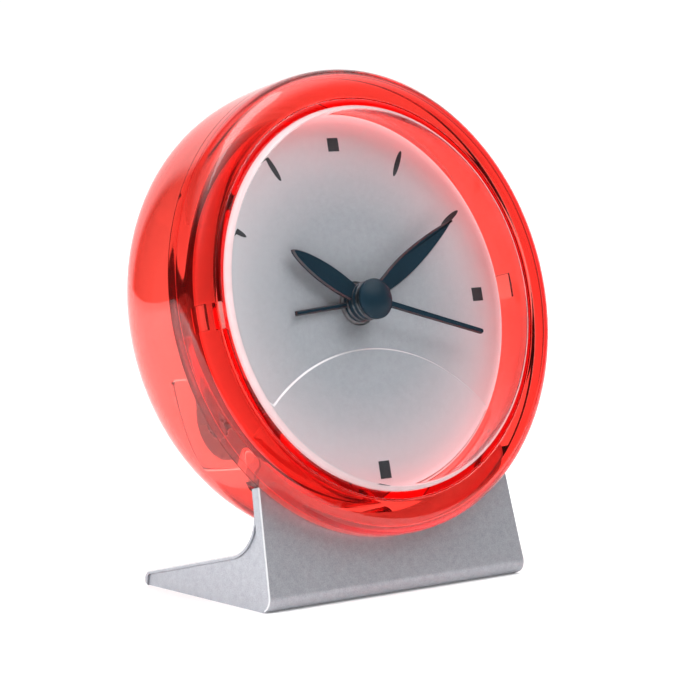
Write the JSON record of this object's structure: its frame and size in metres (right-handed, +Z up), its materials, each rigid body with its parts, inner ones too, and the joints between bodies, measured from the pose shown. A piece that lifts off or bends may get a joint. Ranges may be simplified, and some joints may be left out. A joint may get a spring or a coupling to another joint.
{
  "type": "alarm clock",
  "caption": "Round desk alarm clock: translucent red drum case, clear lens, plain silver dial, dark hands and a quartz movement, leaning back on a fixed silver wedge stand.",
  "frame": {"origin": "on the surface the clock stands on, under the middle of its bounding box", "axes": "+Z up, the face looks towards -Y, +X to the right of someone facing the dial"},
  "size_m": [0.0826, 0.043, 0.0908],
  "materials": {
    "red_plastic": "translucent gloss",
    "clear_plastic": "clear polished",
    "silver_plastic": "fine satin metallic",
    "dial_silver": "fine satin",
    "hand_dark": "dark blue-black semi-gloss",
    "black_plastic": "moulded",
    "white_plastic": "moulded",
    "brass": "turned",
    "steel": "plated",
    "copper_wire": "enamelled winding",
    "board_green": "printed board",
    "chip_black": "moulded",
    "magnet": "sintered",
    "cell_wrap": "plain wrapped cell"
  },
  "bodies": {
    "case": {"stand": "silver_plastic", "front_bezel": "red_plastic", "rear_case": "red_plastic", "lens": "clear_plastic", "lens_ring": "red_plastic", "dial": "dial_silver", "movement_front_plate": "silver_plastic", "movement_housing": "black_plastic", "middle_plate": "black_plastic", "stator": "steel", "coil": "copper_wire", "circuit_board": "board_green", "quartz_crystal": "steel", "driver_chip": "chip_black", "buzzer": "black_plastic", "battery_cell": "cell_wrap", "battery_spring": "steel", "battery_plate": "steel", "case_screw": "steel", "movement_screw_1": "steel", "movement_screw_2": "steel"},
    "seconds": {"second_wheel": "white_plastic", "second_hand": "hand_dark"},
    "third": {"third_wheel": "white_plastic"},
    "centre": {"centre_wheel": "brass"},
    "fifth": {"fifth_wheel": "white_plastic"},
    "motor_rotor": {"rotor": "magnet"},
    "minutes": {"minute_pinion": "brass", "minute_hand": "hand_dark"},
    "time_set": {"works_wheel": "white_plastic", "time_set_knob": "black_plastic"},
    "hours": {"hour_wheel": "white_plastic", "hour_hand": "hand_dark"},
    "alarm": {"alarm_wheel": "white_plastic", "alarm_hand": "hand_dark"},
    "alarm_set": {"alarm_set_pinion": "white_plastic", "alarm_set_knob": "black_plastic"},
    "switch": {"alarm_switch": "black_plastic"},
    "door": {"battery_door": "red_plastic"}
  },
  "joints": [
    {"name": "second_hand_spin", "type": "hinge", "parent": "case", "child": "seconds", "pos_m": [0, -0.00124, 0.04877], "axis": [0, 0.9695, -0.2452], "continuous": true},
    {"name": "fifth_wheel_spin", "type": "hinge", "parent": "case", "child": "fifth", "pos_m": [0.00811, 0.00356, 0.04531], "axis": [0, 0.9695, -0.2452], "continuous": true},
    {"name": "rotor_spin", "type": "hinge", "parent": "case", "child": "motor_rotor", "pos_m": [0.01385, 0.00465, 0.04555], "axis": [0, 0.9695, -0.2452], "continuous": true},
    {"name": "third_wheel_spin", "type": "hinge", "parent": "case", "child": "third", "pos_m": [0, 0.00437, 0.05626], "axis": [0, 0.9695, -0.2452], "continuous": true},
    {"name": "centre_wheel_spin", "type": "hinge", "parent": "case", "child": "centre", "pos_m": [0, 0.00138, 0.0481], "axis": [0, 0.9695, -0.2452], "continuous": true},
    {"name": "minute_hand_spin", "type": "hinge", "parent": "case", "child": "minutes", "pos_m": [0, -0.00124, 0.04877], "axis": [0, 0.9695, -0.2452], "continuous": true},
    {"name": "time_set_spin", "type": "hinge", "parent": "case", "child": "time_set", "pos_m": [0.00831, 0.00769, 0.05146], "axis": [0, 0.9695, -0.2452], "continuous": true},
    {"name": "hour_hand_spin", "type": "hinge", "parent": "case", "child": "hours", "pos_m": [0, -0.00124, 0.04877], "axis": [0, 0.9695, -0.2452], "continuous": true},
    {"name": "alarm_hand_spin", "type": "hinge", "parent": "case", "child": "alarm", "pos_m": [0, -0.00124, 0.04877], "axis": [0, 0.9695, -0.2452], "continuous": true},
    {"name": "alarm_set_spin", "type": "hinge", "parent": "case", "child": "alarm_set", "pos_m": [-0.00831, 0.00769, 0.05146], "axis": [0, 0.9695, -0.2452], "continuous": true},
    {"name": "alarm_switch_slide", "type": "slide", "parent": "case", "child": "switch", "axis": [1, 0, 0], "range_m": [0, 0.004]},
    {"name": "battery_door_pull", "type": "slide", "parent": "case", "child": "door", "axis": [0, 0.9695, -0.2452], "range_m": [0, 0.02]}
  ],
  "couplings": [
    {"joint": "fifth_wheel_spin", "follows": "second_hand_spin", "ratio": -6},
    {"joint": "rotor_spin", "follows": "second_hand_spin", "ratio": 30},
    {"joint": "third_wheel_spin", "follows": "second_hand_spin", "ratio": -0.13333},
    {"joint": "centre_wheel_spin", "follows": "second_hand_spin", "ratio": 0.016667},
    {"joint": "time_set_spin", "follows": "minute_hand_spin", "ratio": -0.33333},
    {"joint": "hour_hand_spin", "follows": "minute_hand_spin", "ratio": 0.083333},
    {"joint": "alarm_set_spin", "follows": "alarm_hand_spin", "ratio": -4}
  ]
}
